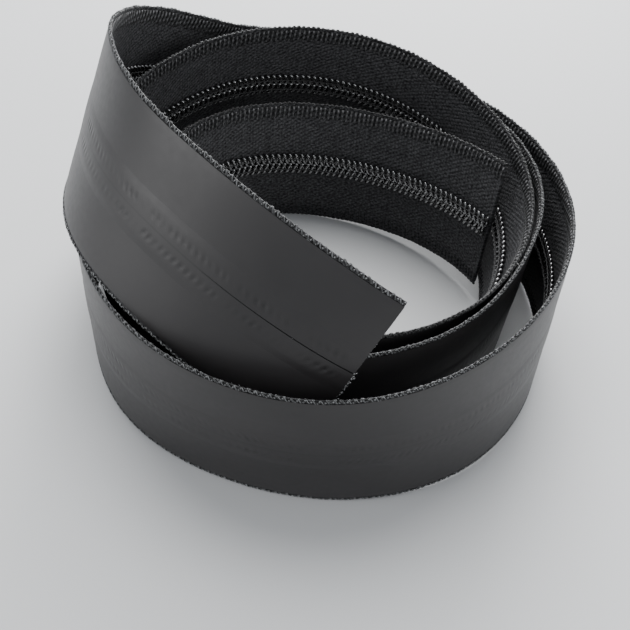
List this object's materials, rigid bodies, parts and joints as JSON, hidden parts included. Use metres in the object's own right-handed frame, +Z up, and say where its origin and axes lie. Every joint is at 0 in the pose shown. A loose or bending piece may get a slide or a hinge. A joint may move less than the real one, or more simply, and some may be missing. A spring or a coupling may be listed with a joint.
{
  "type": "zipper chain",
  "caption": "Cut length of water-repellent reverse coil zipper chain, closed, standing on edge in a loose spiral with a flexible free inner end.",
  "frame": {"origin": "on the floor, under the middle of the ring's bounding box", "axes": "+Z up, the ring's axis; +X to the right and -Y to the front, where the free outer end is tucked in"},
  "size_m": [0.106, 0.1211, 0.0627],
  "materials": {
    "tape": "woven polyester, fine herringbone, matte",
    "film": "smooth polyurethane film, matte with a soft sheen",
    "coil": "black nylon monofilament, glossy",
    "cord": "twisted polyester cord, matte",
    "thread": "polyester sewing thread, slight sheen"
  },
  "bodies": {
    "root": {"lower_tape": "tape", "lower_film": "film", "lower_coil": "coil", "lower_filler_cord": "cord", "lower_stitching": "thread", "upper_tape": "tape", "upper_film": "film", "upper_coil": "coil", "upper_filler_cord": "cord", "upper_stitching": "thread"},
    "inner_end": {"inner_end_lower_tape": "tape", "inner_end_lower_film": "film", "inner_end_lower_coil": "coil", "inner_end_lower_filler_cord": "cord", "inner_end_lower_stitching": "thread", "inner_end_upper_tape": "tape", "inner_end_upper_film": "film", "inner_end_upper_coil": "coil", "inner_end_upper_filler_cord": "cord", "inner_end_upper_stitching": "thread"}
  },
  "joints": [
    {"name": "inner_end_flex", "type": "hinge", "parent": "root", "child": "inner_end", "pos_m": [0.00022, 0.02431, 0.016], "axis": [0, 0, -1], "range_deg": [0, 30], "stiffness_Nm_per_rad": 0.002}
  ]
}
